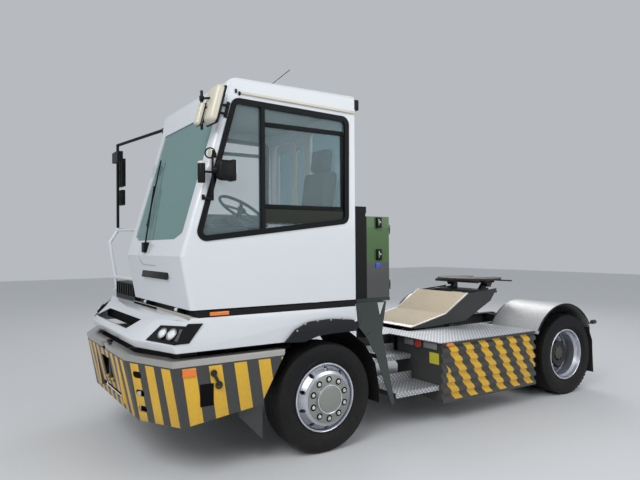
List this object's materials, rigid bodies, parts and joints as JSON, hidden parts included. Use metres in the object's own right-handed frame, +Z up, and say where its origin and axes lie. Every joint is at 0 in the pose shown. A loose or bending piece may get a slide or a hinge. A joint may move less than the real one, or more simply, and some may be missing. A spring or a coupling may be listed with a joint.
{
  "type": "terminal tractor",
  "caption": "Yard tractor with an offset tilting cab, open deck, lift boom with a tilting fifth wheel, steered front axle and twin rear wheels.",
  "frame": {"origin": "on the ground under the middle of the vehicle's bounding box", "axes": "+Z up, the front faces -Y, +X is the vehicle's left side"},
  "size_m": [2.74, 5.7, 3.3929],
  "materials": {
    "cab_white": "gloss white paint",
    "fairing_white": "gloss white paint",
    "bumper_grey": "satin dark grey paint",
    "chassis_grey": "satin dark grey paint",
    "panel_grey": "satin grey-green paint",
    "box_grey": "satin grey paint",
    "ramp_beige": "worn beige paint",
    "deck_aluminium": "aluminium tread plate",
    "guard_metal": "bare sheet",
    "rod_chrome": "hard chrome",
    "wheel_silver": "silver paint",
    "tyre_rubber": "black rubber",
    "seal_rubber": "black rubber",
    "flap_rubber": "black rubber",
    "window_glass": "light green tint",
    "lamp_plastic": "dark housings, clear, amber and red lenses",
    "black_plastic": "moulded black",
    "seat_fabric": "dark woven cover",
    "cast_black": "dark casting",
    "axle_black": "black painted casting",
    "locker_green": "gloss green paint",
    "mirror_cream": "cream housings"
  },
  "bodies": {
    "chassis": {"chassis_frame": "chassis_grey", "frame_members": "chassis_grey", "frame_pins": "axle_black", "step_sides": "chassis_grey", "front_bumper": "bumper_grey", "front_fairing": "fairing_white", "headlamps": "lamp_plastic", "cab_bed": "black_plastic", "marker_lamps": "lamp_plastic", "arch_flares": "black_plastic", "arch_liners": "black_plastic", "arch_plates": "panel_grey", "engine_block": "cast_black", "cooler_grille": "black_plastic", "deck_plates": "deck_aluminium", "side_box_left": "box_grey", "side_box_right": "box_grey", "access_steps": "deck_aluminium", "rear_mudguards": "guard_metal", "rear_mudflaps": "flap_rubber", "front_axle": "axle_black", "rear_axle": "axle_black", "drive_shaft": "axle_black", "locker": "panel_grey", "intake_column": "black_plastic", "tail_bar": "chassis_grey"},
    "steer_knuckle_left": {"knuckle_left": "axle_black"},
    "steer_knuckle_right": {"knuckle_right": "axle_black"},
    "steering_tie_rod": {"tie_rod": "axle_black"},
    "front_wheel_left": {"front_tyre_left": "tyre_rubber", "front_rim_left": "wheel_silver"},
    "front_wheel_right": {"front_tyre_right": "tyre_rubber", "front_rim_right": "wheel_silver"},
    "rear_wheels_left": {"rear_tyres_left": "tyre_rubber", "rear_rims_left": "wheel_silver"},
    "rear_wheels_right": {"rear_tyres_right": "tyre_rubber", "rear_rims_right": "wheel_silver"},
    "boom": {"lift_boom": "chassis_grey", "boom_ramp": "ramp_beige"},
    "fifth_wheel": {"fifth_wheel_plate": "cast_black"},
    "cylinder_barrels": {"lift_barrels": "chassis_grey"},
    "cylinder_rods": {"lift_rods": "rod_chrome"},
    "cab": {"cab_floor": "black_plastic", "cab_left_wall": "cab_white", "cab_right_wall": "cab_white", "cab_front_wall": "cab_white", "cab_rear_wall": "cab_white", "cab_roof": "cab_white", "cab_glass": "window_glass", "windscreen": "window_glass", "window_seals": "seal_rubber", "seat": "seat_fabric", "dashboard": "black_plastic", "steering_wheel": "black_plastic", "mirrors_left": "mirror_cream", "mirror_post_right": "black_plastic", "guard_rail_right": "cab_white"},
    "rear_cab_door": {"cab_door": "cab_white", "door_glass": "window_glass"},
    "locker_lid": {"locker_door": "locker_green"}
  },
  "joints": [
    {"name": "steer_left", "type": "hinge", "parent": "chassis", "child": "steer_knuckle_left", "pos_m": [0.9, -1.26, 0.475], "axis": [0, 0, 1], "range_deg": [-38, 38]},
    {"name": "steer_right", "type": "hinge", "parent": "chassis", "child": "steer_knuckle_right", "pos_m": [-0.9, -1.26, 0.475], "axis": [0, 0, 1], "range_deg": [-38, 38]},
    {"name": "tie_rod_swing", "type": "hinge", "parent": "steer_knuckle_left", "child": "steering_tie_rod", "pos_m": [0.9, -1.09, 0.35], "axis": [0, 0, 1], "range_deg": [-38, 38]},
    {"name": "front_wheel_left_spin", "type": "hinge", "parent": "steer_knuckle_left", "child": "front_wheel_left", "pos_m": [1.095, -1.26, 0.475], "axis": [1, 0, 0], "continuous": true},
    {"name": "front_wheel_right_spin", "type": "hinge", "parent": "steer_knuckle_right", "child": "front_wheel_right", "pos_m": [-1.095, -1.26, 0.475], "axis": [1, 0, 0], "continuous": true},
    {"name": "rear_wheels_left_spin", "type": "hinge", "parent": "chassis", "child": "rear_wheels_left", "pos_m": [1.078, 2.21, 0.475], "axis": [1, 0, 0], "continuous": true},
    {"name": "rear_wheels_right_spin", "type": "hinge", "parent": "chassis", "child": "rear_wheels_right", "pos_m": [-1.078, 2.21, 0.475], "axis": [1, 0, 0], "continuous": true},
    {"name": "boom_lift", "type": "hinge", "parent": "chassis", "child": "boom", "pos_m": [0, 0.4, 0.735], "axis": [1, 0, 0], "range_deg": [0, 32]},
    {"name": "fifth_wheel_tilt", "type": "hinge", "parent": "boom", "child": "fifth_wheel", "pos_m": [0, 1.86, 1.275], "axis": [1, 0, 0], "range_deg": [-12, 12]},
    {"name": "lift_barrel_swing", "type": "hinge", "parent": "chassis", "child": "cylinder_barrels", "pos_m": [0, 0.99, 0.605], "axis": [1, 0, 0], "range_deg": [0, 41.6]},
    {"name": "lift_rod_stroke", "type": "slide", "parent": "cylinder_barrels", "child": "cylinder_rods", "axis": [0, 0.8052, 0.5929], "range_m": [0, 0.304]},
    {"name": "cab_tilt", "type": "hinge", "parent": "chassis", "child": "cab", "pos_m": [0.465, -2.46, 1.284], "axis": [1, 0, 0], "range_deg": [0, 60]},
    {"name": "cab_door_slide", "type": "slide", "parent": "cab", "child": "rear_cab_door", "axis": [1, 0, 0], "range_m": [0, 0.62]},
    {"name": "locker_door_swing", "type": "hinge", "parent": "chassis", "child": "locker_lid", "pos_m": [1.14, -0.459, 1.68], "axis": [0, 0, 1], "range_deg": [0, 110]}
  ],
  "couplings": [
    {"joint": "steer_right", "follows": "steer_left", "ratio": 1},
    {"joint": "tie_rod_swing", "follows": "steer_left", "ratio": -1},
    {"joint": "lift_barrel_swing", "follows": "boom_lift", "ratio": 1.298},
    {"joint": "lift_rod_stroke", "follows": "boom_lift", "m_per_rad": 0.542}
  ]
}
